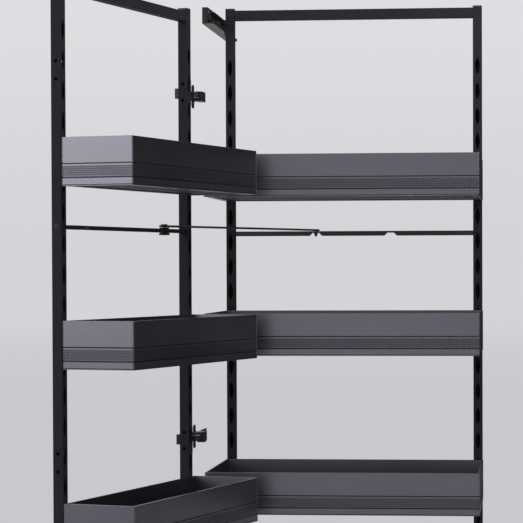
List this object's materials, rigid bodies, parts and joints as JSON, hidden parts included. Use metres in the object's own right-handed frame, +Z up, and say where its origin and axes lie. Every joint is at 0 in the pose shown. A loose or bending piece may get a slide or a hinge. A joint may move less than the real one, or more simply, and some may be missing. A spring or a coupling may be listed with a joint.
{
  "type": "pull out pantry frame",
  "caption": "Twin pull-out pantry frame: a door-hung frame of trays and a linked inner frame of trays that rolls forward as the door opens.",
  "frame": {"origin": "centre of the four channel screw holes, on the inner face of the cabinet's left side", "axes": "+X across the cabinet from its left side, +Y into the cabinet, +Z up; drawn with the door open by 105.5 degrees"},
  "size_m": [0.6866, 1.0972, 1.307],
  "materials": {
    "frame_coat": "satin anthracite powder coat",
    "black_coat": "satin black powder coat",
    "hinge_coat": "dark nickel-like coat on pressed steel",
    "black_plastic": "moulded, fine grain",
    "dark_screw": "blackened steel",
    "pin_steel": "bright drawn steel",
    "stop_rubber": "matt rubber",
    "roller_plastic": "turned acetal",
    "tray_wall": "anthracite anodised profile",
    "tray_floor": "dark laminated fibreboard",
    "hook_steel": "black coat"
  },
  "bodies": {
    "cabinet_side": {"top_channel": "black_coat", "bottom_channel": "black_coat", "channel_stops": "stop_rubber", "hinge_plates": "hinge_coat", "hinge_arms": "hinge_coat", "hinge_arm_screws": "dark_screw", "hinge_pins": "pin_steel", "soft_close_damper": "black_plastic"},
    "inner_frame": {"inner_left_upright": "frame_coat", "inner_right_upright": "frame_coat", "inner_top_bar": "frame_coat", "inner_bottom_bar": "frame_coat", "inner_link_bar": "black_coat", "inner_upright_caps": "black_plastic", "inner_bar_plugs": "black_plastic", "inner_frame_screws": "dark_screw", "top_carriage": "black_coat", "bottom_carriage": "black_coat", "carriage_screws": "dark_screw", "roller_axles": "pin_steel", "inner_tray_walls_1": "tray_wall", "inner_tray_floor_1": "tray_floor", "inner_tray_walls_2": "tray_wall", "inner_tray_floor_2": "tray_floor", "inner_tray_walls_3": "tray_wall", "inner_tray_floor_3": "tray_floor", "inner_tray_walls_4": "tray_wall", "inner_tray_floor_4": "tray_floor", "inner_tray_hooks": "hook_steel"},
    "door_frame": {"door_hinge_upright": "frame_coat", "door_free_upright": "frame_coat", "door_top_bar": "frame_coat", "door_bottom_bar": "frame_coat", "door_link_bar": "black_coat", "door_bar_clip": "black_plastic", "door_upright_caps": "black_plastic", "door_bar_plugs": "black_plastic", "door_frame_screws": "dark_screw", "door_pads": "stop_rubber", "hinge_leaves": "hinge_coat", "hinge_leaf_screws": "dark_screw", "door_tray_walls_1": "tray_wall", "door_tray_floor_1": "tray_floor", "door_tray_walls_2": "tray_wall", "door_tray_floor_2": "tray_floor", "door_tray_walls_3": "tray_wall", "door_tray_floor_3": "tray_floor", "door_tray_walls_4": "tray_wall", "door_tray_floor_4": "tray_floor", "door_tray_hooks": "hook_steel"},
    "link": {"link_rod": "black_coat", "rod_retainer": "dark_screw", "rod_collar": "black_plastic"},
    "top_front_roller_wheel": {"top_front_roller": "roller_plastic"},
    "top_rear_roller_wheel": {"top_rear_roller": "roller_plastic"},
    "bottom_front_roller_wheel": {"bottom_front_roller": "roller_plastic"},
    "bottom_rear_roller_wheel": {"bottom_rear_roller": "roller_plastic"}
  },
  "joints": [
    {"name": "door_swing", "type": "hinge", "parent": "cabinet_side", "child": "door_frame", "pos_m": [-0.008, -0.3516, 0], "axis": [0, 0, 1], "range_deg": [0, 105.5]},
    {"name": "inner_slide", "type": "slide", "parent": "cabinet_side", "child": "inner_frame", "axis": [0, 1, 0], "range_m": [0, 0.20196]},
    {"name": "link_swing", "type": "hinge", "parent": "inner_frame", "child": "link", "pos_m": [0.2065, -0.017, 0.2068], "axis": [0, 0, 1], "range_deg": [0, 17.25]},
    {"name": "top_front_roller_spin", "type": "hinge", "parent": "inner_frame", "child": "top_front_roller_wheel", "pos_m": [0.0076, -0.152, 0.6235], "axis": [1, 0, 0], "continuous": true},
    {"name": "top_rear_roller_spin", "type": "hinge", "parent": "inner_frame", "child": "top_rear_roller_wheel", "pos_m": [0.0076, -0.05, 0.6235], "axis": [1, 0, 0], "continuous": true},
    {"name": "bottom_front_roller_spin", "type": "hinge", "parent": "inner_frame", "child": "bottom_front_roller_wheel", "pos_m": [0.0076, -0.152, -0.6235], "axis": [1, 0, 0], "continuous": true},
    {"name": "bottom_rear_roller_spin", "type": "hinge", "parent": "inner_frame", "child": "bottom_rear_roller_wheel", "pos_m": [0.0076, -0.05, -0.6235], "axis": [1, 0, 0], "continuous": true}
  ],
  "couplings": [
    {"joint": "inner_slide", "follows": "door_swing", "m_per_rad": 0.10968},
    {"joint": "link_swing", "follows": "door_swing", "ratio": 0.16347},
    {"joint": "top_front_roller_spin", "follows": "door_swing", "ratio": -8.006},
    {"joint": "top_rear_roller_spin", "follows": "door_swing", "ratio": -8.006},
    {"joint": "bottom_front_roller_spin", "follows": "door_swing", "ratio": -8.006},
    {"joint": "bottom_rear_roller_spin", "follows": "door_swing", "ratio": -8.006}
  ]
}
